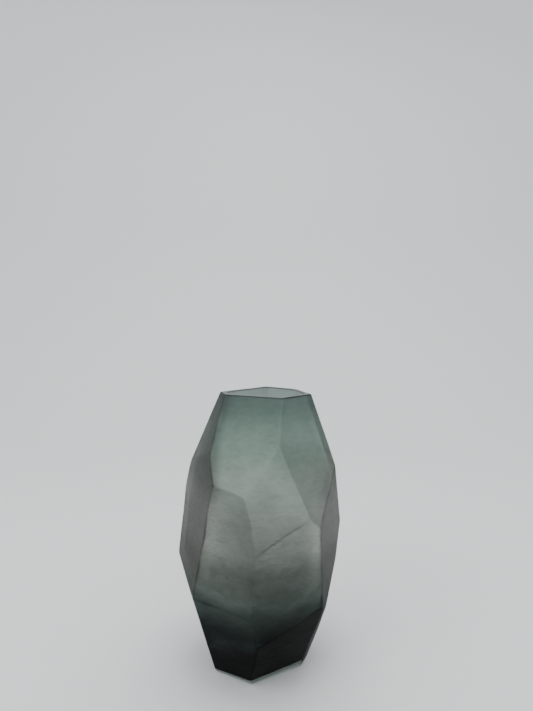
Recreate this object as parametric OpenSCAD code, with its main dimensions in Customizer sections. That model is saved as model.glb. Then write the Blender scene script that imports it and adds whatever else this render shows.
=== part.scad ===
// Hand blown art glass vase, cased and cut in irregular facets.
//
// The glass is two layers fused face to face: a clear core, blown first, with a
// heavy base, and a thin tinted casing over it. The outside is then ground flat
// facet by facet, the rim and the base are ground flat, and a bevel round the
// foot goes through the casing into the clear glass.
//
// Frame: +Z up, origin in the middle of the flat base, front of the vase to -Y.
// Millimetres and degrees.

/* [Overall size] */
// Height from the flat base to the ground rim
vase_h = 340; // [270:5:420]
// Width across the belly, from the left corner to the right one
vase_w = 209; // [170:1:255]

/* [Glass thickness] */
// Whole wall behind a facet, casing and core together
wall_t = 6; // [4:0.5:9]
// Tinted casing behind a facet
casing_t = 2; // [1:0.25:3]
// Solid glass under the bowl
base_t = 24; // [12:1:40]

/* [Bowl] */
// Radius of the flat part of the bowl's floor
floor_r = 22; // [12:1:30]
// Radius of the round heel between the floor and the wall
heel_r = 36; // [20:1:45]

/* [Foot] */
// How far in the foot's bevel is ground, square to the bevel
bevel_depth = 0; // [-2:0.5:3]

/* [Colours] */
// Colour of the tinted casing
casing_colour = "#6f7d76"; // [#6f7d76, #8a9a94, #4a5450]
// Colour of the clear core
core_colour = "#c9d6d1"; // [#c9d6d1, #dfe6e3]

/* [Hidden] */

// The cut list is drawn for a vase of this height and width.
list_h = 340;
list_w = 209;

// One row is one flat ground on the wheel: its bearing round the vase, counted
// from +X towards +Y, its lean back from upright, the height of its middle, and
// how far out from the axis it lies there. A lower facet leans the other way.
upper_cuts = [
    [-163, 21, 300, 65.5],   // left, narrow
    [-114, 30, 290, 70.0],   // front left, the largest
    [ -46, 20, 270, 82.0],   // front right
    [  19, 14, 260, 71.5],   // right
    [  54, 24, 290, 72.0],   // back right
    [ 134, 21, 280, 61.5]    // back left
];
middle_cuts = [
    [-158,  7, 190,  88.0],  // left
    [-120, -1, 180,  96.0],  // front left
    [ -79,  9, 220,  98.5],  // front, the lozenge
    [ -70, -7, 140,  95.5],  // front right
    [ -23, -1, 180,  94.0],  // right
    [   1, -10, 150, 94.0],  // right, towards the back
    [  45, -3, 180,  99.0],  // back right
    [  88,  0, 180,  98.0],  // back
    [ 132, -5, 170,  99.5],  // back left
    [ 167,  5, 190, 105.5]   // left, towards the back
];
lower_cuts = [
    [-121, -17, 60, 81.0],   // front left
    [ -61, -25, 50, 72.5],   // front right
    [ -27, -23, 60, 80.0],   // right, narrow
    [  -7, -15, 80, 79.0],   // right, towards the back
    [  45, -20, 70, 83.0],   // back right
    [ 105, -22, 70, 85.5],   // back, towards the left
    [ 151, -20, 70, 87.0],   // back left
    [ 196, -16, 80, 87.5]    // left
];
// The foot's bevel, given where each flat would meet the base.
bevel_cuts = [
    [-119, -41, 0, 57.5],    // front left
    [ -60, -38, 0, 45.0],    // front right, the widest
    [ -14, -48, 0, 53.0],    // right
    [  45, -46, 0, 53.0],    // back right
    [ 105, -46, 0, 54.0],    // back, towards the left
    [ 151, -46, 0, 56.0],    // back left
    [ 188, -48, 0, 58.5]     // left
];
facet_cuts = concat(upper_cuts, middle_cuts, lower_cuts);

// The list is stretched to the size asked for.
wide = vase_w / list_w;
tall = vase_h / list_h;
function stretched(cut) =
    [cut[0], atan(tan(cut[1]) * wide / tall), cut[2] * tall, cut[3] * wide];

// A block this many times the vase's largest size takes away all that lies
// outside one facet.
block_sizes = 3;
block = block_sizes * max(vase_h, vase_w);
// How far one cutter passes the face that it goes through
past = 5;

// The heel's round turns up in steps to this slope, which goes on past the wall.
heel_steps = 6;
heel_turn = 62;
// Flats round the bowl's floor and heel, enough to pass for round
bowl_sides = 96;

// All that lies outside one facet, moved in by the given depth.
module outside_of(cut, depth) {
    c = stretched(cut);
    rotate([0, 0, c[0]])
        translate([c[3], 0, c[2]])
            rotate([0, -c[1], 0])
                translate([-depth, -block / 2, -block / 2])
                    cube(block);
}

// The body that all the facets leave, each moved in by the given depth.
module faceted_body(depth, z_low, z_high) {
    difference() {
        translate([-block / 2, -block / 2, z_low])
            cube([block, block, z_high - z_low]);
        for (cut = facet_cuts)
            outside_of(cut, depth);
    }
}

// What the bevel wheel takes off the foot.
module foot_bevel() {
    for (cut = bevel_cuts)
        outside_of(cut, bevel_depth);
}

// The round floor and heel of the bowl, open above.
module bowl_limit() {
    heel = [for (i = [0 : heel_steps])
        let (turn = heel_turn * i / heel_steps)
            [floor_r + heel_r * sin(turn), base_t + heel_r * (1 - cos(turn))]];
    heel_end = heel[heel_steps];
    top = vase_h + 2 * past;
    top_r = heel_end[0] + (top - heel_end[1]) / tan(heel_turn);
    rotate_extrude($fn = bowl_sides)
        polygon(concat([[0, base_t]], heel, [[top_r, top], [0, top]]));
}

// The hollow that the glass was blown round: an even wall behind the facets.
module bowl() {
    intersection() {
        faceted_body(wall_t, 0, vase_h + past);
        bowl_limit();
    }
}

module tinted_casing() {
    color(casing_colour)
        difference() {
            faceted_body(0, 0, vase_h);
            faceted_body(casing_t, -past, vase_h + past);
            foot_bevel();
        }
}

module clear_core() {
    color(core_colour)
        difference() {
            faceted_body(casing_t, 0, vase_h);
            foot_bevel();
            bowl();
        }
}

tinted_casing();
clear_core();
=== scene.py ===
# %% [markdown]
# # A cased, cut and satin finished glass vase
#
# The real vase is one fused body of glass in two layers. A clear core is gathered and
# blown first, with a heavy base. A thin grey-green casing is laid over it. When the glass
# is cold, flats are ground all round it, the rim and the base are ground level, a bevel
# is ground round the foot, and the whole piece is etched satin.
#
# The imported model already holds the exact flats. This file keeps their places and adds
# what a hand leaves behind: soft edges, slow waves in the flats, a blown hollow with
# round corners, and the glass itself.

# %% Load the frame
import math

import bmesh
import bpy
import numpy as np
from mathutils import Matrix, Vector
from mathutils.geometry import delaunay_2d_cdt


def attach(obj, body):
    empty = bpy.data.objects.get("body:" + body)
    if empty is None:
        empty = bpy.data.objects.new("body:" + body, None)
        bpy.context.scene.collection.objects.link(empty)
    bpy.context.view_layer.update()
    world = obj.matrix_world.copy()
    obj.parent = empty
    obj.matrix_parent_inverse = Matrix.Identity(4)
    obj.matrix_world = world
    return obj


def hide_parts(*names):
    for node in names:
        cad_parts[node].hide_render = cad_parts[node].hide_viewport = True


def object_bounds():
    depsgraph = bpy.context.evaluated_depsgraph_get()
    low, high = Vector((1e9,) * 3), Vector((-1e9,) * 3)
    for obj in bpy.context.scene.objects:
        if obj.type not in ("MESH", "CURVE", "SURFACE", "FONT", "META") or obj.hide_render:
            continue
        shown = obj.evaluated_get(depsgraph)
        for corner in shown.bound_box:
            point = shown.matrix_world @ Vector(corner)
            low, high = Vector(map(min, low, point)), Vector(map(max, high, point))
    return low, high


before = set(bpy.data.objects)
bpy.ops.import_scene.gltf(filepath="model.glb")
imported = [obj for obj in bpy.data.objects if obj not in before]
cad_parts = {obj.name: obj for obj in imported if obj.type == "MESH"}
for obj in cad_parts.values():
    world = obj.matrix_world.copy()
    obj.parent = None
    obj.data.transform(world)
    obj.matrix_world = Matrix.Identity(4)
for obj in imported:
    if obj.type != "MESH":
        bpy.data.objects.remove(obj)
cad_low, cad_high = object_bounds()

MM = 0.001
height = cad_high.z
print("packed vase, mm:", [round(s / MM, 1) for s in cad_high - cad_low])

# %% [markdown]
# ## Camera
#
# A phone's wide lens, 27 mm on a full frame, held close: 0.66 m from the vase and a
# little above its rim, tipped slightly down. So near, the rim is seen almost edge on
# while the foot is seen from well above, which a long lens would flatten.

# %% Camera
CAMERA_AT = (0.0056, -0.6606, 0.4292)
CAMERA_TIP = 3.8
LENS_MM = 27.0
FULL_FRAME_MM = 36.0
camera_data = bpy.data.cameras.new("camera")
camera_data.lens = LENS_MM
camera_data.sensor_width = FULL_FRAME_MM
camera = bpy.data.objects.new("camera", camera_data)
camera.location = CAMERA_AT
camera.rotation_euler = (math.radians(90 - CAMERA_TIP), 0, 0)
bpy.context.scene.collection.objects.link(camera)
bpy.context.scene.camera = camera
print("camera at", CAMERA_AT, "m, tipped down", CAMERA_TIP, "degrees")

# %% [markdown]
# ## Writing node trees as sums
#
# Long chains of Math nodes are hard to read, so a small class wraps a socket and turns
# `a * 2 + b` into the nodes that work it out. It serves shaders and Geometry Nodes
# alike. Every other node comes from one method, which takes its type, its settings and
# what goes into its sockets.

# %% The sum writer
class Wire:
    """One output socket, on which sums can be written."""

    def __init__(self, bench, socket):
        self.bench, self.socket = bench, socket

    def _sum(self, operation, *terms):
        node = self.bench.node("ShaderNodeMath", {"operation": operation}, dict(enumerate(terms)))
        return node.out(0)

    def __add__(self, other):
        return self._sum("ADD", self, other)

    def __radd__(self, other):
        return self._sum("ADD", other, self)

    def __sub__(self, other):
        return self._sum("SUBTRACT", self, other)

    def __rsub__(self, other):
        return self._sum("SUBTRACT", other, self)

    def __mul__(self, other):
        return self._sum("MULTIPLY", self, other)

    def __rmul__(self, other):
        return self._sum("MULTIPLY", other, self)

    def __truediv__(self, other):
        return self._sum("DIVIDE", self, other)

    def __rtruediv__(self, other):
        return self._sum("DIVIDE", other, self)

    def __pow__(self, other):
        return self._sum("POWER", self, other)

    def of(self, operation, *terms):
        """Any other Math operation, with this wire as its first term."""
        return self._sum(operation, self, *terms)


class Placed:
    """A node that has been put in a tree."""

    def __init__(self, bench, node):
        self.bench, self.node = bench, node

    def out(self, key):
        return Wire(self.bench, self.node.outputs[key])


class Bench:
    """A node tree that nodes are added to."""

    def __init__(self, tree):
        self.tree = tree

    def plug(self, socket, value):
        if isinstance(value, Wire):
            self.tree.links.new(value.socket, socket)
        else:
            socket.default_value = value

    def node(self, kind, settings=None, inputs=None):
        node = self.tree.nodes.new(kind)
        for key, value in (settings or {}).items():
            setattr(node, key, value)
        for key, value in (inputs or {}).items():
            self.plug(node.inputs[key], value)
        return Placed(self, node)

# %% [markdown]
# ## Reading the flats
#
# Each flat on the outside is one plane, the mark of one pass over a wheel. The planes
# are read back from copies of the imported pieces, so the visible vase is cut by the same
# flats. Triangles that share a plane are gathered into one flat, and the line round
# them is the flat's outline.

# %% Flats
SAME_SPOT = 1e-6
SAME_ANGLE = 2e-6
SAME_PLANE = 1e-5
ON_PLANE = 4e-6
SLIVER = 1e-7
# How far a flat's outward arrow may point down or up. Past these it isn't a facet.
BASE_DOWN = -0.99
FACET_DOWN, FACET_UP = -0.5, 0.6


def joined_copy(node):
    """A CAD node's corners and triangles, copied, with its split corners joined."""
    net = bmesh.new()
    net.from_mesh(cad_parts[node].data)
    bmesh.ops.remove_doubles(net, verts=net.verts, dist=SAME_SPOT)
    bmesh.ops.triangulate(net, faces=net.faces)
    points = np.array([v.co for v in net.verts], float)
    faces = np.array([[v.index for v in f.verts] for f in net.faces])
    net.free()
    return points, faces


def arrows_of(points, faces):
    """Each triangle's corners, and the arrow square to it, as long as twice its area."""
    corner = points[faces]
    return corner, np.cross(corner[:, 1] - corner[:, 0], corner[:, 2] - corner[:, 0])


def planes_of(points, faces, holding_only):
    """The planes the triangles lie in, as rows of normal and distance."""
    corner, cross = arrows_of(points, faces)
    size = np.linalg.norm(cross, axis=1)
    found = np.empty((0, 4))
    for k in np.argsort(-size):
        if size[k] < SLIVER:
            break
        normal = cross[k] / size[k]
        row = np.append(normal, normal @ corner[k, 0])
        if holding_only and (points @ normal).max() > row[3] + SAME_PLANE:
            continue
        same_way = 1 - found[:, :3] @ normal < SAME_ANGLE
        same_place = abs(found[:, 3] - row[3]) < SAME_PLANE
        if not (same_way & same_place).any():
            found = np.vstack([found, row])
    return found


def flats_of(points, faces, planes):
    """For each plane, the directed outline of the triangles that lie in it."""
    corner, cross = arrows_of(points, faces)
    off = abs(corner @ planes[:, :3].T - planes[:, 3]).max(1)
    score = np.where(off < ON_PLANE, cross @ planes[:, :3].T, -1)
    owner = np.where(score.max(1) >= 0, score.argmax(1), -1)
    outlines = []
    for k in range(len(planes)):
        group = faces[owner == k]
        directed = {(int(t[i]), int(t[(i + 1) % 3])) for t in group for i in range(3)}
        outer = [(a, b) for a, b in sorted(directed) if (b, a) not in directed]
        outlines.append([(points[a], points[b]) for a, b in outer])
    return outlines


casing_points, casing_faces = joined_copy("tinted_casing")
core_points, core_faces = joined_copy("clear_core")
casing_planes = planes_of(casing_points, casing_faces, holding_only=False)
core_planes = planes_of(core_points, core_faces, holding_only=True)
casing_outlines = flats_of(casing_points, casing_faces, casing_planes)
core_outlines = flats_of(core_points, core_faces, core_planes)

holds = (casing_points @ casing_planes[:, :3].T).max(0) < casing_planes[:, 3] + SAME_PLANE
walls_and_rim = casing_planes[holds & (casing_planes[:, 2] > BASE_DOWN)]
skin = np.vstack([walls_and_rim, [0, 0, -1, 0]])
facets = skin[(skin[:, 2] > FACET_DOWN) & (skin[:, 2] < FACET_UP)]
print("flats that hold the whole vase:", len(skin), "of which", len(facets), "are facets")

# %% [markdown]
# ## The hollow's own measures
#
# The wall is even, so it is the distance from a facet to the face of the hollow that
# runs along it. The round floor and heel show as rings of corners at one height and one
# radius.

# %% Wall and heel
RING_CORNERS = 12
corner, cross = arrows_of(core_points, core_faces)
size = np.linalg.norm(cross, axis=1, keepdims=True)
facing = cross / np.maximum(size, 1e-12) @ facets[:, :3].T
depths = [
    facets[k, 3] - facets[k, :3] @ corner[t, 0]
    for t, k in zip(*np.nonzero((facing < -1 + SAME_ANGLE) & (size > SLIVER)))
]
wall = float(np.median(depths))

radius_of = np.hypot(core_points[:, 0], core_points[:, 1])
rings, counts = np.unique(np.round(np.c_[core_points[:, 2], radius_of], 5), axis=0, return_counts=True)
heel_rings = rings[counts >= RING_CORNERS]
print("wall, mm:", round(wall / MM, 2))
print("heel rings, radius and height, mm:",
      [(round(r / MM, 1), round(z / MM, 1)) for z, r in heel_rings])

# %% [markdown]
# ## Soft edges
#
# Grinding leaves crisp edges, and the acid that makes glass satin eats them first. They
# end up narrow where two flats meet at a steep angle, such as round the rim, and broad
# where they meet at a shallow one. A soft maximum over all the flats does just that.
# Each point is stepped along the slope of the field until it lies on its zero level,
# which is never outside the sharp body.
#
# Each flat also has a slow wave of its own, from the hand that held the vase to the
# wheel. Where two flats meet at a shallow angle, a small wave moves their edge a long
# way, so it wanders in a slight S.

# %% Soft body
SOFTNESS = 0.45 * MM
STEPS_ONTO_SKIN = 6
WANDER_DEPTH = 0.40 * MM
WANDER_LENGTHS = (60 * MM, 110 * MM)
WANDER_TERMS = 3
dice = np.random.default_rng(11)
wander_way = dice.normal(size=(len(skin), WANDER_TERMS, 3))
wander_way /= np.linalg.norm(wander_way, axis=2, keepdims=True)
wander_way *= 2 * math.pi / dice.uniform(*WANDER_LENGTHS, size=(len(skin), WANDER_TERMS, 1))
wander_from = dice.uniform(0, 2 * math.pi, size=(len(skin), WANDER_TERMS))
wanders = (abs(skin[:, 2]) < FACET_UP) * WANDER_DEPTH


def on_soft_skin(points):
    """Points moved onto the vase's softened outside."""
    for _ in range(STEPS_ONTO_SKIN):
        wave = np.sin(np.einsum("pi,kji->pkj", points, wander_way) + wander_from).mean(2)
        level = (points @ skin[:, :3].T - skin[:, 3] + wanders * (1 + wave)) / SOFTNESS
        top = level.max(1)
        weight = np.exp(level - top[:, None])
        total = weight.sum(1)
        slope = weight / total[:, None] @ skin[:, :3]
        value = SOFTNESS * (top + np.log(total))
        points = points - (value / (slope**2).sum(1))[:, None] * slope
    return points


print("flats that wander:", int((wanders > 0).sum()), "by up to", 2 * WANDER_DEPTH / MM, "mm")

# %% [markdown]
# ## Filling a flat with triangles
#
# A flat needs small triangles only near its edges, where the surface turns. Rows of
# points follow each edge, closer together the nearer they are to it, and a wide
# staggered grid fills the middle. Points on an outline are worked out from the same end
# whichever flat asks, so neighbours meet exactly.

# %% Filling
ALONG = 2.5 * MM
EDGE_ROWS = [r * MM for r in (0.5, 1.1, 1.9, 3.0, 4.5)]
GRID = 3.5 * MM
SEAM_GRID = 14.0 * MM
ROW_ROOM = 0.93
SPOT_DIGITS = 4


def divided(start, end):
    """Points along an edge, both ends included, the same from either side."""
    parts = max(1, round(float(np.linalg.norm(end - start)) / ALONG))
    share = np.linspace(0, 1, parts + 1)[:, None]
    if tuple(end) < tuple(start):
        return (end + (start - end) * share)[::-1]
    return start + (end - start) * share


def room(spots, starts, ends):
    """How far each spot is from the outline, and whether it is inside."""
    side = ends - starts
    away = spots[:, None] - starts
    share = np.clip((away * side).sum(2) / (side**2).sum(1), 0, 1)
    gap = np.linalg.norm(away - share[..., None] * side, axis=2).min(1)
    crosses = (starts[:, 1] > spots[:, None, 1]) != (ends[:, 1] > spots[:, None, 1])
    rise = np.where(side[:, 1] == 0, 1, side[:, 1])
    at = starts[:, 0] + (spots[:, None, 1] - starts[:, 1]) / rise * side[:, 0]
    return gap, (crosses & (spots[:, None, 0] < at)).sum(1) % 2 == 1


def filled(plane, outline, rows, grid, whole=()):
    """Triangles that fill a flat. Edges in whole are kept as they are, not divided."""
    normal = plane[:3]
    across = np.cross([0, 1, 0] if abs(normal[1]) < 0.9 else [1, 0, 0], normal)
    across /= np.linalg.norm(across)
    up = np.cross(normal, across)

    def flat(points):
        return np.c_[points @ across, points @ up]

    lines = [divided(a, b) for a, b in outline] + [np.array(pair) for pair in whole]
    rim = np.vstack(lines)
    sides = list(outline) + list(whole)
    starts = flat(np.array([a for a, b in sides]))
    ends = flat(np.array([b for a, b in sides]))
    side = ends - starts
    length = np.linalg.norm(side, axis=1)
    inward = np.c_[-side[:, 1], side[:, 0]] / length[:, None]

    spots = []
    for number, row in enumerate(rows):
        for k in range(len(sides)):
            parts = max(1, round(length[k] / ALONG))
            share = (np.arange(parts + number % 2) + 0.5 * (1 - number % 2)) / parts
            line = starts[k] + share[:, None] * side[k] + row * inward[k]
            gap, inside = room(line, starts, ends)
            spots.append(line[inside & (gap > ROW_ROOM * row)])
    low, high = starts.min(0), starts.max(0)
    down = grid * math.sqrt(0.75)
    net = np.array([
        (x + grid / 2 * (j % 2), y)
        for j, y in enumerate(np.arange(low[1], high[1], down))
        for x in np.arange(low[0], high[0], grid)
    ])
    if len(net):
        gap, inside = room(net, starts, ends)
        spots.append(net[inside & (gap > (rows[-1] if rows else 0) + grid / 2)])
    inner = np.vstack(spots) if spots else np.empty((0, 2))

    rim_flat, first = np.unique(np.round(flat(rim) / MM, 5), axis=0, return_index=True)
    place = {tuple(spot): k for k, spot in enumerate(rim_flat)}
    walls = set()
    for line in lines:
        names = [place[tuple(spot)] for spot in np.round(flat(line) / MM, 5)]
        walls.update((a, b) for a, b in zip(names, names[1:]) if a != b)
    spots_mm = np.vstack([rim_flat, inner / MM])
    _, _, made, kept, _, _ = delaunay_2d_cdt([Vector(s) for s in spots_mm], sorted(walls), [], 0, 1e-5)
    source = [names[0] for names in kept]
    triangles = [tuple(source[v] for v in face) for face in made]
    inner_points = (
        inner[:, :1] * across + inner[:, 1:] * up + plane[3] * normal
        if len(inner) else np.empty((0, 3))
    )
    return np.vstack([rim[first], inner_points]), kept_inside(triangles, walls)


def kept_inside(triangles, walls):
    """The triangles inside the walls, which run with the inside on their left."""
    beside = {(t[i], t[(i + 1) % 3]): k for k, t in enumerate(triangles) for i in range(3)}
    waiting = [beside[wall_edge] for wall_edge in walls if wall_edge in beside]
    inside = set(waiting)
    while waiting:
        t = triangles[waiting.pop()]
        for i in range(3):
            a, b = t[i], t[(i + 1) % 3]
            over = beside.get((b, a))
            if over is not None and over not in inside and (a, b) not in walls:
                inside.add(over)
                waiting.append(over)
    return [triangles[k] for k in sorted(inside)]


print("rows beside an edge, mm:", [round(r / MM, 1) for r in EDGE_ROWS], "then a grid of", GRID / MM)

# %% Patches joined into one surface
class Sheet:
    """Patches of surface, gathered so that they can be joined into one closed piece."""

    def __init__(self):
        self.points, self.faces, self.slots, self.soft, self.bevels = [], [], [], [], []
        self.count = 0

    def add(self, points, faces, slot, soft, bevel=False):
        self.points.append(points)
        self.faces.append(np.asarray(faces) + self.count)
        self.slots += [slot] * len(faces)
        self.bevels += [float(bevel)] * len(faces)
        self.soft.append(np.full(len(points), soft))
        self.count += len(points)

    def joined(self):
        """Points, triangles, their slots, and which points softening moves."""
        points = np.vstack(self.points)
        keys, first, name = np.unique(
            np.round(points / MM, SPOT_DIGITS), axis=0, return_index=True, return_inverse=True)
        soft = np.zeros(len(keys), bool)
        np.logical_or.at(soft, name.ravel(), np.concatenate(self.soft))
        return points[first], name.ravel()[np.vstack(self.faces)], np.array(self.slots), soft

# %% [markdown]
# ## The blown hollow
#
# The maker blows the core before any flat is ground, so the hollow has no edges. It
# follows the facets at an even depth, but turns its corners in wide curves, and it ends
# in a round floor. The rule is one soft minimum along each level ray from the axis,
# over the distance to every facet moved in by the wall and to the heel's own curve.
#
# It is worked out with Geometry Nodes. The mesh that goes in is the heel's curve spun
# round the axis and carried on up past the walls. A Repeat Zone runs over the facets,
# and each pass adds one facet to the sum inside the soft minimum.

# %% The lathed start
COLUMNS = 240
HEEL_R = 36.0 * MM
BOWL_SLOPE = math.radians(62)
ROW = 3.0 * MM
LIP = 1.2 * MM
LIP_STEPS = 5


def spaced(start, end, step):
    return np.linspace(start, end, max(2, round(abs(end - start) / step) + 1))


floor_z, floor_r = heel_rings[0]
turns = spaced(0, BOWL_SLOPE, ROW / HEEL_R)
heel_curve = np.c_[floor_r + HEEL_R * np.sin(turns), floor_z + HEEL_R * (1 - np.cos(turns))]
floor_steps = spaced(ROW, floor_r, ROW)[:-1]
floor_curve = np.c_[floor_steps, np.full(len(floor_steps), floor_z)]
climb = np.append(spaced(heel_curve[-1, 1], height - LIP, ROW)[1:], height)
wall_curve = np.c_[heel_curve[-1, 0] + (climb - heel_curve[-1, 1]) / math.tan(BOWL_SLOPE), climb]
curve = np.vstack([floor_curve, heel_curve, wall_curve])

bearings = np.arange(COLUMNS) * 2 * math.pi / COLUMNS
spun = [(0, 0, floor_z)] + [
    (r * math.cos(t), r * math.sin(t), z) for r, z in curve for t in bearings
]


def ring(row):
    return [1 + row * COLUMNS + k for k in range(COLUMNS)]


def band(low, high):
    """Triangles between two rings, facing the axis."""
    out = []
    for k in range(COLUMNS):
        a, b, c, d = low[k], low[(k + 1) % COLUMNS], high[(k + 1) % COLUMNS], high[k]
        out += [(a, c, b), (a, d, c)]
    return out


def spun_faces(rings):
    """Triangles from the middle of the floor up through so many rings."""
    out = [(0, ring(0)[k], ring(0)[(k + 1) % COLUMNS]) for k in range(COLUMNS)]
    for row in range(rings - 1):
        out += band(ring(row), ring(row + 1))
    return out


lathe_mesh = bpy.data.meshes.new("lathe")
lathe_mesh.from_pydata(spun, [], spun_faces(len(curve)))
lathe = bpy.data.objects.new("lathe", lathe_mesh)

cuts_mesh = bpy.data.meshes.new("cuts")
cuts_mesh.from_pydata([(0, 0, 0)] * len(facets), [], [])
cuts_mesh.attributes.new("normal_of_cut", "FLOAT_VECTOR", "POINT").data.foreach_set(
    "vector", facets[:, :3].ravel())
cuts_mesh.attributes.new("distance_of_cut", "FLOAT", "POINT").data.foreach_set(
    "value", facets[:, 3])
cuts = bpy.data.objects.new("cuts", cuts_mesh)
for helper in (lathe, cuts):
    bpy.context.scene.collection.objects.link(helper)
print("lathed start:", len(spun), "corners, facets to follow:", len(facets))

# %% The tree that blows the bowl
def new_tree(name, sockets):
    """A Geometry Nodes tree with a Geometry in and out, and the named inputs given."""
    tree = bpy.data.node_groups.new(name, "GeometryNodeTree")
    face = tree.interface
    face.new_socket("Geometry", in_out="OUTPUT", socket_type="NodeSocketGeometry")
    face.new_socket("Geometry", in_out="INPUT", socket_type="NodeSocketGeometry")
    for label, kind in sockets:
        face.new_socket(label, in_out="INPUT", socket_type=kind)
    bench = Bench(tree)
    return tree, bench, bench.node("NodeGroupInput"), bench.node("NodeGroupOutput")


def run_tree(target, tree, values):
    """Puts the tree on an object, sets its inputs and returns the plain mesh it makes."""
    modifier = target.modifiers.new(tree.name, "NODES")
    modifier.node_group = tree
    for item in tree.interface.items_tree:
        if item.item_type == "SOCKET" and item.in_out == "INPUT" and item.name in values:
            modifier[item.identifier] = values[item.name]
    bpy.context.view_layer.update()
    seen = target.evaluated_get(bpy.context.evaluated_depsgraph_get())
    mesh = bpy.data.meshes.new_from_object(seen)
    target.modifiers.remove(modifier)
    return mesh


# A level ray that closes on a facet more slowly than this is counted as closing at this
# rate, which leaves the facet too far off to matter.
SLOWEST = 0.02
bowl_tree, bench, given, made = new_tree("blown_bowl", [
    ("Cuts", "NodeSocketObject"), ("Facets", "NodeSocketInt"), ("Wall", "NodeSocketFloat"),
    ("Softness", "NodeSocketFloat"), ("Glass", "NodeSocketMaterial")])
list_of_cuts = bench.node("GeometryNodeObjectInfo", {}, {"Object": given.out("Cuts")}).out("Geometry")
place_xyz = bench.node("ShaderNodeSeparateXYZ", {}, {0: bench.node("GeometryNodeInputPosition").out(0)})
x, y, z = (place_xyz.out(k) for k in range(3))
start_r = (x * x + y * y) ** 0.5
level_x, level_y = x / start_r.of("MAXIMUM", SAME_SPOT), y / start_r.of("MAXIMUM", SAME_SPOT)
softness = given.out("Softness")

begin = bench.node("GeometryNodeRepeatInput")
end = bench.node("GeometryNodeRepeatOutput")
begin.node.pair_with_output(end.node)
end.node.repeat_items.new("FLOAT", "Sum")
bench.plug(begin.node.inputs["Iterations"], given.out("Facets"))
bench.plug(begin.node.inputs["Geometry"], given.out("Geometry"))
bench.plug(begin.node.inputs["Sum"], (0 - start_r / softness).of("EXPONENT"))
turn = begin.out("Iteration")


def of_cut(name, kind):
    """A value of the facet whose turn it is."""
    named = bench.node("GeometryNodeInputNamedAttribute", {"data_type": kind}, {"Name": name})
    return bench.node("GeometryNodeSampleIndex", {"data_type": kind, "domain": "POINT"}, {
        "Geometry": list_of_cuts, "Value": named.out("Attribute"), "Index": turn}).out("Value")


cut_xyz = bench.node("ShaderNodeSeparateXYZ", {}, {0: of_cut("normal_of_cut", "FLOAT_VECTOR")})
closing = level_x * cut_xyz.out(0) + level_y * cut_xyz.out(1)
gap_left = of_cut("distance_of_cut", "FLOAT") - given.out("Wall") - z * cut_xyz.out(2)
reach = gap_left / closing.of("MAXIMUM", SLOWEST)
bench.plug(end.node.inputs["Sum"], begin.out("Sum") + (0 - reach / softness).of("EXPONENT"))
bench.plug(end.node.inputs["Geometry"], begin.out("Geometry"))

blown_r = 0 - softness * end.out("Sum").of("LOGARITHM", math.e)
blown_xyz = bench.node("ShaderNodeCombineXYZ", {}, {0: level_x * blown_r, 1: level_y * blown_r, 2: z})
placed = bench.node("GeometryNodeSetPosition", {}, {
    "Geometry": end.out("Geometry"), "Position": blown_xyz.out(0)}).out(0)
real = bench.node("GeometryNodeRealizeInstances", {}, {0: placed}).out(0)
finished = bench.node("GeometryNodeSetMaterial", {}, {
    "Geometry": real, "Material": given.out("Glass")}).out(0)
bench.plug(made.node.inputs[0], finished)

# Glass is left empty here: only the bowl's points are kept, and the core is given its glass
# when it is whole.
BOWL_SOFTNESS = 3.0 * MM
bowl_mesh = run_tree(lathe, bowl_tree, {
    "Cuts": cuts, "Facets": len(facets), "Wall": wall, "Softness": BOWL_SOFTNESS})
bowl_points = np.array([v.co for v in bowl_mesh.vertices], float)
print("mouth inside, mm:", np.round(np.ptp(bowl_points[ring(len(curve) - 1), :2], axis=0) / MM, 1))
print("lowest point of the bowl, mm:", round(bowl_points[:, 2].min() / MM, 2))

# %% [markdown]
# ## The lip
#
# The rim is ground flat across both layers, then the etch rounds its inner edge. The
# last ring of the bowl is bent over in a short curve until it lies in the rim's plane.

# %% The lip
under_lip = bowl_points[ring(len(curve) - 2)]
corner_ring = bowl_points[ring(len(curve) - 1)]
outward = corner_ring[:, :2] / np.linalg.norm(corner_ring[:, :2], axis=1, keepdims=True)
on_rim = corner_ring.copy()
on_rim[:, :2] += outward * LIP
lip_rows = [
    (1 - t) ** 2 * under_lip + 2 * t * (1 - t) * corner_ring + t**2 * on_rim
    for t in np.linspace(0, 1, LIP_STEPS + 1)[1:]
]
lip_rows[-1] = on_rim
bowl_all = np.vstack([bowl_points[: 1 + (len(curve) - 1) * COLUMNS]] + lip_rows)
bowl_faces = spun_faces(len(curve) - 1 + LIP_STEPS)
for helper in (lathe, cuts):
    bpy.data.objects.remove(helper)
print("bowl with its lip:", len(bowl_all), "points,", len(bowl_faces), "triangles")
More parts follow.
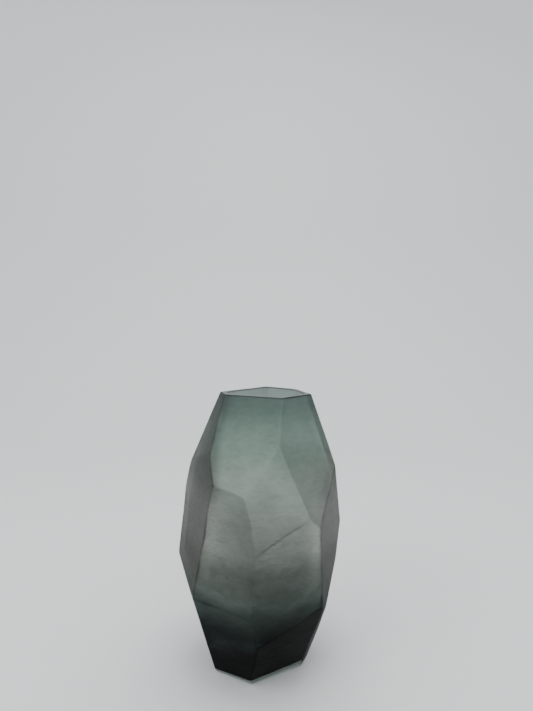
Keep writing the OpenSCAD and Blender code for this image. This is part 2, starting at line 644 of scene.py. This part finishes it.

# %% [markdown]
# ## Painted shade on flats and lines on edges
#
# No two flats of such a vase look alike under the same light, and where two flats meet
# the light crosses more glass, which draws a fine line along the edge. A layer whose
# thickness changes could carry some of that. This layer has one thickness, so that it
# stays true to the imported model. Instead two small lists say how much painted shade
# each flat gets, and how dark a painted line or how pale a painted highlight each edge
# gets, and functions turn them into values for each point of the mesh, which the glass
# reads later.

# %% Painted shade on flats and lines on edges
# Painted shade on the casing, flat by flat: the flat's bearing and lean in degrees, and
# shares at even steps from its upper end to its lower one. Below nothing it is painted light.
FLATS_PAINTED_SHADE = [
    (-158, 7, (0.83, 0.77)), (-163, 21, (0.80, 0.78)), (-23, -1, (0.78, 0.70)), (1, -10, (0.34, 0.32)),
    (-46, 20, (-0.10, 0.06, 0.34, 0.38, 0.38)), (19, 14, (0.30, 0.34)), (-61, -25, (0.88, 0.92)),
    (-121, -17, (0.00, 0.50)), (167, 5, (0.30, 0.30)), (132, -5, (0.15, 0.15)),
    (-120, -1, (0.38, 0.34, 0.12, 0.04, 0.04)), (-70, -7, (-0.10, -0.08, -0.06, 0.06, 0.06)),
    (54, 24, (0.10, 0.20)), (134, 21, (0.26, 0.16)), (88, 0, (0.12, 0.10))]
# Edges that get a painted line, by the bearings of the two flats that meet there. A line
# of painted shade is above nothing, and a painted highlight below.
PAINTED_EDGE_LINES = [(-158, -120, 0.75), (-158, -114, 0.75), (-163, -114, 0.65), (-23, -70, 0.65),
              (-23, -46, 0.65), (-79, -70, 0.55), (-120, -121, 0.70), (-163, -158, 0.25),
              (-114, -46, -0.18), (-114, -79, -0.12), (-79, -46, -0.25), (-120, -70, -0.12),
              (-70, -61, 0.15), (-114, -120, 0.10), (-121, -61, 0.20), (45, 88, 0.5),
              (88, 132, 0.5), (1, 45, 0.5), (132, 167, 0.5), (-163, 134, 0.4), (54, 134, 0.4)]
LINE_WIDTH = 1.3 * MM
# Over this depth below the flats, one flat's darkness turns into the next one's.
BLEND_DEPTH = 0.16 * MM
# Lines and turns drift a little to either side of the sharp edge, in three waves. Each
# column is one of them, in radians to the metre.
LINE_DRIFT = 1.1 * MM
DRIFT_WAYS = np.array([[90, 30, 70], [40, 95, -60], [105, -50, 85]])
ALIKE = math.cos(math.radians(3))
# The most that two pairs of bearings may differ and still be one edge, in degrees.
BEARINGS_APART = 2
PALEST_LINE, DARKEST_LINE = -0.4, 0.85


def painted_shade_steps(normal):
    """The list's steps for the flat that faces this way, from its lower end up."""
    for bearing, lean, steps in FLATS_PAINTED_SHADE:
        turn, tip = math.radians(bearing), math.radians(lean)
        way = (math.cos(turn) * math.cos(tip), math.sin(turn) * math.cos(tip), math.sin(tip))
        if np.dot(way, normal) > ALIKE:
            return steps[::-1]
    return (0.0,)


def drifted(points):
    """Points moved a little, so that what is drawn from them wanders."""
    return points + LINE_DRIFT * np.sin(points @ DRIFT_WAYS)


def casing_painted_shade(points):
    """How much painted shade the casing gets at each point, turning softly where two flats meet."""
    points = drifted(points)
    levels, depths = [], []
    for plane, outline, held in zip(casing_planes, casing_outlines, holds):
        if held:
            ends = np.array(outline)[..., 2]
            steps = painted_shade_steps(plane[:3])
            heights = np.linspace(ends.min(), ends.max(), len(steps))
            depths.append(np.interp(points[:, 2], heights, steps))
            levels.append(points @ plane[:3] - plane[3])
    levels = np.array(levels)
    weights = np.exp((levels - levels.max(0)) / BLEND_DEPTH)
    return (weights * np.array(depths)).sum(0) / weights.sum(0)


def bearing_of(plane):
    return math.degrees(math.atan2(plane[1], plane[0]))


def turned(one, two):
    """How far apart two bearings are, in degrees."""
    return abs((one - two + 180) % 360 - 180)


def painted_edge_lines(points):
    """How much painted shade runs along the edges at each point, with painted highlights below nothing,
    summed over the edges in the list.
    """
    owner = {}
    for plane, outline, held in zip(casing_planes, casing_outlines, holds):
        if held and abs(plane[2]) < FACET_UP:
            owner.update({(tuple(a), tuple(b)): bearing_of(plane) for a, b in outline})
    total = np.zeros(len(points))
    points = drifted(points)
    for (a, b), here in owner.items():
        there = owner.get((b, a))
        if there is None or a < b:
            continue
        for one, two, strength in PAINTED_EDGE_LINES:
            straight = turned(here, one) + turned(there, two)
            swapped = turned(here, two) + turned(there, one)
            if min(straight, swapped) < BEARINGS_APART:
                start, side = np.array(a), np.array(b) - np.array(a)
                share = np.clip((points - start) @ side / (side @ side), 0, 1)
                away = np.linalg.norm(points - start - share[:, None] * side, axis=1)
                total += strength * np.exp(-((away / LINE_WIDTH) ** 2))
    return np.clip(total, PALEST_LINE, DARKEST_LINE)


print("flats with their own darkness:", len(FLATS_PAINTED_SHADE), "edges with a line:", len(PAINTED_EDGE_LINES))

# %% [markdown]
# ## Two layers, each closed
#
# The casing is bounded by the flats outside, a narrow band of the rim, a narrow band of
# the bevel and the face where it is fused to the core. The core has the rest of the rim
# and the bevel, the base, the hollow and the same fused face.

# %% Casing and core
SKIN, SEAM = 0, 1
RIM_UP = 0.99
BEVEL_DOWN = -0.55
# The rim's outer outline lies nearer to the facets than this share of the wall.
OUTER_SHARE = 0.75
casing_sheet, core_sheet = Sheet(), Sheet()

for plane, outline, held in zip(casing_planes, casing_outlines, holds):
    rows, grid = (EDGE_ROWS, GRID) if held else ([], SEAM_GRID)
    points, faces = filled(plane, outline, rows, grid)
    casing_sheet.add(points, faces, SKIN if held else SEAM, held, held and plane[2] < BEVEL_DOWN)

for plane, outline in zip(core_planes, core_outlines):
    alike = (skin[:, :3] @ plane[:3] > 1 - SAME_ANGLE) & (abs(skin[:, 3] - plane[3]) < SAME_PLANE)
    outside = bool(alike.any())
    whole = []
    if plane[2] > RIM_UP:
        middle = np.array([(a + b) / 2 for a, b in outline])
        deep = (middle @ facets[:, :3].T - facets[:, 3]).max(1)
        outline = [edge for edge, depth in zip(outline, deep) if depth > -OUTER_SHARE * wall]
        whole = [(on_rim[(k + 1) % COLUMNS], on_rim[k]) for k in range(COLUMNS)]
    rows, grid = (EDGE_ROWS, GRID) if outside else ([], SEAM_GRID)
    points, faces = filled(plane, outline, rows, grid, whole)
    core_sheet.add(points, faces, SKIN if outside else SEAM, outside)
core_sheet.add(bowl_all, bowl_faces, SKIN, False)
print("patches of the casing:", len(casing_sheet.points), "and of the core:", len(core_sheet.points))

# %% The rough pieces
def rough_piece(name, sheet, shades):
    """The joined sheet as an object, softened, with what the next steps need on it."""
    points, faces, slots, soft = sheet.joined()
    shade_values = {label: rule(points) for label, rule in shades.items()}
    own = np.zeros(len(points), bool)
    own[np.unique(faces[slots == SKIN])] = True
    in_bowl = np.isin(np.round(points / MM, SPOT_DIGITS).view("f8,f8,f8").ravel(),
                      np.round(bowl_all / MM, SPOT_DIGITS).view("f8,f8,f8").ravel())
    moved = soft & own & ~in_bowl
    points[moved] = on_soft_skin(points[moved])
    mesh = bpy.data.meshes.new(name)
    mesh.from_pydata(points.tolist(), [], faces.tolist())
    for label, values in shade_values.items():
        mesh.attributes.new(label, "FLOAT", "POINT").data.foreach_set("value", values)
    mesh.attributes.new("bevel", "FLOAT", "FACE").data.foreach_set("value", sheet.bevels)
    mesh.attributes.new("is_skin", "BOOLEAN", "FACE").data.foreach_set("value", slots == SKIN)
    piece = bpy.data.objects.new(name, mesh)
    bpy.context.scene.collection.objects.link(piece)
    net = bmesh.new()
    net.from_mesh(mesh)
    open_edges = sum(len(e.link_faces) != 2 for e in net.edges)
    volume = net.calc_volume(signed=True)
    net.free()
    print(name, len(points), "points,", len(faces), "triangles,", open_edges, "open edges,",
          round(volume * 1e6, 1), "ml")
    return piece


casing = rough_piece("tinted_casing_glass", casing_sheet, {
    "edge_line": painted_edge_lines, "thicker": casing_painted_shade})
core = rough_piece("clear_core_glass", core_sheet, {})

# %% [markdown]
# ## Waves left by the hand
#
# A flat held to the wheel by hand is never quite flat. Slow swells bend the reflections
# and give some edges a slight S, and fine level ripples follow the passes of the wheel.
# Both only take glass away, square to the axis, so the rim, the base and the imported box
# stay as they are. The same waves run through both layers, so they still meet.

# %% The tree of waves
waves_tree, bench, given, made = new_tree("hand_ground_waves", [
    ("Swell Depth", "NodeSocketFloat"), ("Swell Length", "NodeSocketFloat"),
    ("Ripple Depth", "NodeSocketFloat"), ("Ripple Length", "NodeSocketFloat"),
    ("Radius", "NodeSocketFloat"), ("Seed", "NodeSocketFloat"),
    ("Skin", "NodeSocketMaterial"), ("Seam", "NodeSocketMaterial")])
spot = bench.node("GeometryNodeInputPosition").out(0)
spot_xyz = bench.node("ShaderNodeSeparateXYZ", {}, {0: spot})
x, y, z = (spot_xyz.out(k) for k in range(3))


def noise_at(across, upward, seed):
    """Noise from 0 to 1 whose patches are of the given length across and upward."""
    place = bench.node("ShaderNodeCombineXYZ", {}, {0: x / across, 1: y / across, 2: z / upward})
    return bench.node("ShaderNodeTexNoise", {"noise_dimensions": "4D"}, {
        "Vector": place.out(0), "W": seed, "Scale": 1.0, "Detail": 0.0}).out(0)


# How many times as long a ripple is as it is high.
RIPPLE_SPREAD = 2.5
seed = given.out("Seed")
swell_length, ripple_length = given.out("Swell Length"), given.out("Ripple Length")
swell = noise_at(swell_length, swell_length, seed) * given.out("Swell Depth")
ripple = noise_at(ripple_length * RIPPLE_SPREAD, ripple_length, seed + 1.0) * given.out("Ripple Depth")
kept = 1.0 - (swell + ripple) / given.out("Radius")
waved_xyz = bench.node("ShaderNodeCombineXYZ", {}, {0: x * kept, 1: y * kept, 2: z})
moved = bench.node("GeometryNodeSetPosition", {}, {
    "Geometry": given.out("Geometry"), "Position": waved_xyz.out(0)}).out(0)
real = bench.node("GeometryNodeRealizeInstances", {}, {0: moved}).out(0)
seamed = bench.node("GeometryNodeSetMaterial", {}, {
    "Geometry": real, "Material": given.out("Seam")}).out(0)
is_skin = bench.node("GeometryNodeInputNamedAttribute", {"data_type": "BOOLEAN"}, {"Name": "is_skin"})
skinned = bench.node("GeometryNodeSetMaterial", {}, {
    "Geometry": seamed, "Selection": is_skin.out("Attribute"), "Material": given.out("Skin")}).out(0)
bench.plug(made.node.inputs[0], skinned)
print("waves tree:", len(waves_tree.nodes), "nodes")

# %% [markdown]
# ## Satin glass
#
# The acid leaves a surface that is smooth to the hand but scatters light, so the far
# side shows only as soft areas of light and dark. The casing is a grey-green glass. Its
# mesh is as thin all over, so its colour carries both its tint and painted light and shade:
# a tint by height, palest at the shoulder as painted light and nearly black at the foot as
# painted shade, then painted shade on each flat and painted shade and highlights along the
# edges, then fine level streaks that are partly uneven tone and partly painted shade of the
# ripples, broad patches, and a few creases from the wheel darkened as painted shade.
#
# Absorption in a volume would be the other way. But the two layers share a face with no
# volume behind it, and light is then darkened through the whole hollow as well. The
# casing also bends light less than real glass, 1.13 where glass has about 1.5, because
# with more the pale studio is mirrored in the dark foot and greys it.

# %% Materials
def new_material(name):
    material = bpy.data.materials.new(name)
    material.use_nodes = True
    material.node_tree.nodes.clear()
    return material, Bench(material.node_tree)


def finish_material(bench, shader):
    bench.node("ShaderNodeOutputMaterial", {}, {"Surface": shader})


def blend(bench, share, low, high):
    """A colour between two others."""
    return bench.node("ShaderNodeMix", {"data_type": "RGBA"}, {0: share, 6: low, 7: high}).out(2)


def smooth(bench, value, low, high):
    """Nothing below low, all above high, and an even turn between."""
    return bench.node("ShaderNodeMapRange", {"interpolation_type": "SMOOTHSTEP"}, {
        "Value": value, "From Min": low, "From Max": high}).out(0)


def height_of(bench):
    """A point's place in its piece, and how high it is."""
    place = bench.node("ShaderNodeTexCoord").out("Object")
    return place, bench.node("ShaderNodeSeparateXYZ", {}, {0: place}).out(2)


# The casing's grey-green tint with painted light and shade in it, from the foot up: height in mm and
# colour.
# It is palest from 180 to 212 mm as painted light, and nearly black at the foot as painted shade.
CASING_TINT_AND_PAINTED_LIGHT = [
    (0, (0.0001, 0.0004, 0.0006)), (35, (0.0003, 0.0014, 0.0016)), (68, (0.0110, 0.0205, 0.0185)),
    (104, (0.112, 0.140, 0.126)), (145, (0.260, 0.288, 0.261)), (180, (0.53, 0.56, 0.512)),
    (212, (0.575, 0.603, 0.562)), (245, (0.375, 0.420, 0.382)), (290, (0.292, 0.378, 0.330)),
    (336, (0.148, 0.198, 0.179))]
CASING_RIM = (337.6 * MM, 339.2 * MM)
CASING_FINISH = {
    "Roughness": 0.42, "IOR": 1.13, "Transmission Weight": 0.85, "Specular IOR Level": 0.3}
# The casing's band of the bevel is painted pale: a painted glow of light that runs down the glass.
BEVEL_PAINTED_GLOW = (0.50, 0.58, 0.53)
# Near-black along the top of the rim on both layers: a line of painted shade where light crosses the
# whole thickness of the glass.
RIM_PAINTED_SHADE = (0.050, 0.060, 0.057)


def by_height(bench, up, stops):
    """A colour that runs smoothly through the stops as the height goes up."""
    tint = stops[0][1] + (1,)
    for (low, _), (high, colour) in zip(stops, stops[1:]):
        tint = blend(bench, smooth(bench, up, low * MM, high * MM), tint, colour + (1,))
    return tint


def dimmed(bench, colour, keep):
    """A colour with only this share of it kept."""
    return bench.node("ShaderNodeVectorMath", {"operation": "SCALE"}, {0: colour, "Scale": keep}).out(0)


def streaks(bench, place, across, upward, detail):
    """Noise drawn out level when across is the longer, upright when upward is."""
    stretched = bench.node("ShaderNodeVectorMath", {"operation": "MULTIPLY"}, {
        0: place, 1: (1 / across, 1 / across, 1 / upward)}).out(0)
    return bench.node("ShaderNodeTexNoise", {}, {
        "Vector": stretched, "Scale": 1.0, "Detail": detail, "Roughness": 0.55}).out(0)


# Streaks and patches: length across, length upward, detail, and share of the colour. The
# level and fine streaks share their noise with the bump, so in the colour they are partly
# uneven tone and partly painted shade and light of the ripples. The patches are uneven tone.
LEVEL_STREAKS, LEVEL_SHARE = (17 * MM, 6 * MM, 3.0), 0.55
FINE_STREAKS, FINE_SHARE = (7 * MM, 3.2 * MM, 2.0), 0.45
PATCHES, PATCH_SHARE = (34 * MM, 60 * MM, 1.0), 0.5
# Creases follow the middle of a noise, within this width, on some patches only. They are
# cut in as bump and darkened in the colour as painted shade.
CREASE_NOISE, CREASE_PAINTED_SHADE = (15 * MM, 5.2 * MM, 1.0), 0.15
CREASE_WIDTH = 0.12
CREASED_PATCHES = (0.36, 0.60)
CREASES_FADE, FADED_SHARE = (185 * MM, 245 * MM), 0.8
CREASE_DEPTH = 0.7

# %% The casing's glass
tinted, bench = new_material("satin_tinted_glass")
place, up = height_of(bench)
# Tint by height, with painted light at the shoulder and painted shade at the foot.
tint = by_height(bench, up, CASING_TINT_AND_PAINTED_LIGHT)
level = streaks(bench, place, *LEVEL_STREAKS)
fine = streaks(bench, place, *FINE_STREAKS)
patchy = streaks(bench, place, *PATCHES)
ripple = streaks(bench, place, *CREASE_NOISE)
crease = 1 - smooth(bench, (ripple - 0.5).of("ABSOLUTE"), 0.0, CREASE_WIDTH)
crease = crease * smooth(bench, patchy, *CREASED_PATCHES)
crease = crease * (1 - smooth(bench, up, *CREASES_FADE) * FADED_SHARE)
# The streaks paint part of the ripples' shade and light into the colour, and the patches vary its tone.
drawn = (level - 0.5) * LEVEL_SHARE + (fine - 0.5) * FINE_SHARE + (patchy - 0.5) * PATCH_SHARE
tint = dimmed(bench, tint, 1 + drawn)
# Painted shade in the creases.
tint = dimmed(bench, tint, 1 - crease * CREASE_PAINTED_SHADE)
# Painted shade on each flat, and painted shade and highlights along the edges, dim or lighten the tint.
for value_name in ("thicker", "edge_line"):
    darker = bench.node("ShaderNodeAttribute", {"attribute_name": value_name}).out("Fac")
    tint = dimmed(bench, tint, 1 - darker)
# Painted shade along the rim.
tint = blend(bench, smooth(bench, up, *CASING_RIM), tint, RIM_PAINTED_SHADE + (1,))
# Painted glow on the bevel's faces.
glowing_bevel = bench.node("ShaderNodeAttribute", {"attribute_name": "bevel"}).out("Fac")
tint = blend(bench, glowing_bevel, tint, BEVEL_PAINTED_GLOW + (1,))
bump = bench.node("ShaderNodeBump", {}, {
    "Height": level + fine - crease * CREASE_DEPTH, "Strength": 0.45, "Distance": 0.4 * MM}).out(0)
glass = bench.node("ShaderNodeBsdfPrincipled", {}, {
    "Base Color": tint, "Normal": bump, **CASING_FINISH})
finish_material(bench, glass.out(0))
print("casing's glass:", len(tinted.node_tree.nodes), "nodes")

# %% The core's glass and the fused face
# The clear core's colour with painted light and shade in it, from the foot up: height in mm and colour.
# It is pale at the foot as a painted glow in the bevel, dark from 23 to 90 mm as painted shade, and
# paler higher up as painted light over the clear glass's own faint green-grey.
CORE_TINT_AND_PAINTED_LIGHT = [
    (0, (0.80, 0.88, 0.84)), (18, (0.80, 0.88, 0.84)), (23, (0.02, 0.03, 0.03)),
    (90, (0.10, 0.12, 0.11)), (200, (0.62, 0.69, 0.65)), (250, (0.74, 0.81, 0.78)),
    (336, (0.62, 0.70, 0.67))]
CORE_RIM = (338.6 * MM, 339.4 * MM)
CORE_FINISH = {
    "Roughness": 0.30, "IOR": 1.46, "Transmission Weight": 0.85, "Specular IOR Level": 0.3}
clear, bench = new_material("satin_clear_glass")
place, up = height_of(bench)
# Colour by height, with a painted glow at the foot, painted shade above it and painted light higher up.
tint = by_height(bench, up, CORE_TINT_AND_PAINTED_LIGHT)
# Painted shade along the rim, as on the casing.
tint = blend(bench, smooth(bench, up, *CORE_RIM), tint, RIM_PAINTED_SHADE + (1,))
glass = bench.node("ShaderNodeBsdfPrincipled", {}, {"Base Color": tint, **CORE_FINISH})
finish_material(bench, glass.out(0))

fused, bench = new_material("fused_face")
finish_material(bench, bench.node("ShaderNodeBsdfTransparent").out(0))
print("core's glass:", len(clear.node_tree.nodes), "nodes")

# %% [markdown]
# ## Finished layers
#
# Each layer goes through the waves once and becomes a plain mesh. Shading is smooth,
# with a hard turn only at the fused face.

# %% The two finished pieces
WAVES = {"Swell Depth": 0.8 * MM, "Swell Length": 75 * MM, "Ripple Depth": 0.22 * MM,
         "Ripple Length": 8 * MM, "Radius": 100 * MM, "Seed": 7.0}
HARD_TURN = math.radians(50)


def finished_piece(piece, skin_material, node):
    """Waves the piece, gives it its glass and hands it over in the CAD node's stead."""
    mesh = run_tree(piece, waves_tree, {**WAVES, "Skin": skin_material, "Seam": fused})
    mesh.name = piece.name
    old = piece.data
    piece.data = mesh
    bpy.data.meshes.remove(old)
    net = bmesh.new()
    net.from_mesh(mesh)
    for face in net.faces:
        face.smooth = True
    for edge in net.edges:
        one, two = edge.link_faces
        one_glass = one.material_index == two.material_index
        edge.smooth = one_glass and edge.calc_face_angle() < HARD_TURN
    net.to_mesh(mesh)
    net.free()
    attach(piece, "root")
    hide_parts(node)
    print(piece.name, [m.name for m in mesh.materials], len(mesh.polygons), "triangles")


finished_piece(casing, tinted, "tinted_casing")
finished_piece(core, clear, "clear_core")

# %% [markdown]
# ## Studio
#
# A satin vase shows what is round it as soft areas of light, so the setting is plain: a
# pale floor that sweeps up behind in one curve, a wide soft lamp high on the left in
# front, another overhead, and even light from all round.

# %% Stage and lights
FLOOR_HALF, FLOOR_FRONT = 6.0, -6.0
SWEEP_START, SWEEP_R, SWEEP_STEPS = 1.1, 0.9, 24
BACK_TOP = 3.0
profile = [(FLOOR_FRONT, 0.0), (SWEEP_START, 0.0)]
profile += [(SWEEP_START + SWEEP_R * math.sin(t), SWEEP_R * (1 - math.cos(t)))
            for t in np.linspace(0, math.pi / 2, SWEEP_STEPS)[1:]]
profile += [(SWEEP_START + SWEEP_R, BACK_TOP)]
floor_points = [(x, y, z) for y, z in profile for x in (-FLOOR_HALF, FLOOR_HALF)]
floor_faces = [(2 * k, 2 * k + 1, 2 * k + 3, 2 * k + 2) for k in range(len(profile) - 1)]
floor_mesh = bpy.data.meshes.new("studio_floor")
floor_mesh.from_pydata(floor_points, [], floor_faces)
for polygon in floor_mesh.polygons:
    polygon.use_smooth = True
floor = bpy.data.objects.new("studio_floor", floor_mesh)
bpy.context.scene.collection.objects.link(floor)
paper, bench = new_material("pale_paper")
finish_material(bench, bench.node("ShaderNodeBsdfPrincipled", {}, {
    "Base Color": (0.78, 0.78, 0.78, 1), "Roughness": 0.9}).out(0))
floor_mesh.materials.append(paper)


def soft_lamp(name, at, look_at, side, watts):
    """A square area lamp turned to face a point."""
    data = bpy.data.lights.new(name, "AREA")
    data.shape, data.size, data.size_y, data.energy = "RECTANGLE", side, side, watts
    lamp = bpy.data.objects.new(name, data)
    lamp.location = at
    lamp.rotation_euler = (Vector(look_at) - Vector(at)).to_track_quat("-Z", "Y").to_euler()
    bpy.context.scene.collection.objects.link(lamp)


ROOM_COLOUR, ROOM_STRENGTH = (0.75, 0.78, 0.80, 1), 1.35
soft_lamp("key", at=(-1.3, -1.2, 1.6), look_at=(0, 0, 0.2), side=1.2, watts=12)
soft_lamp("top", at=(0.2, 0.3, 2.2), look_at=(0, 0, 0.1), side=1.6, watts=22)
world = bpy.data.worlds.new("studio")
world.use_nodes = True
bpy.context.scene.world = world
room_light = world.node_tree.nodes["Background"]
room_light.inputs["Color"].default_value = ROOM_COLOUR
room_light.inputs["Strength"].default_value = ROOM_STRENGTH
print("lamps:", len(bpy.data.lights), "room light:", ROOM_STRENGTH)
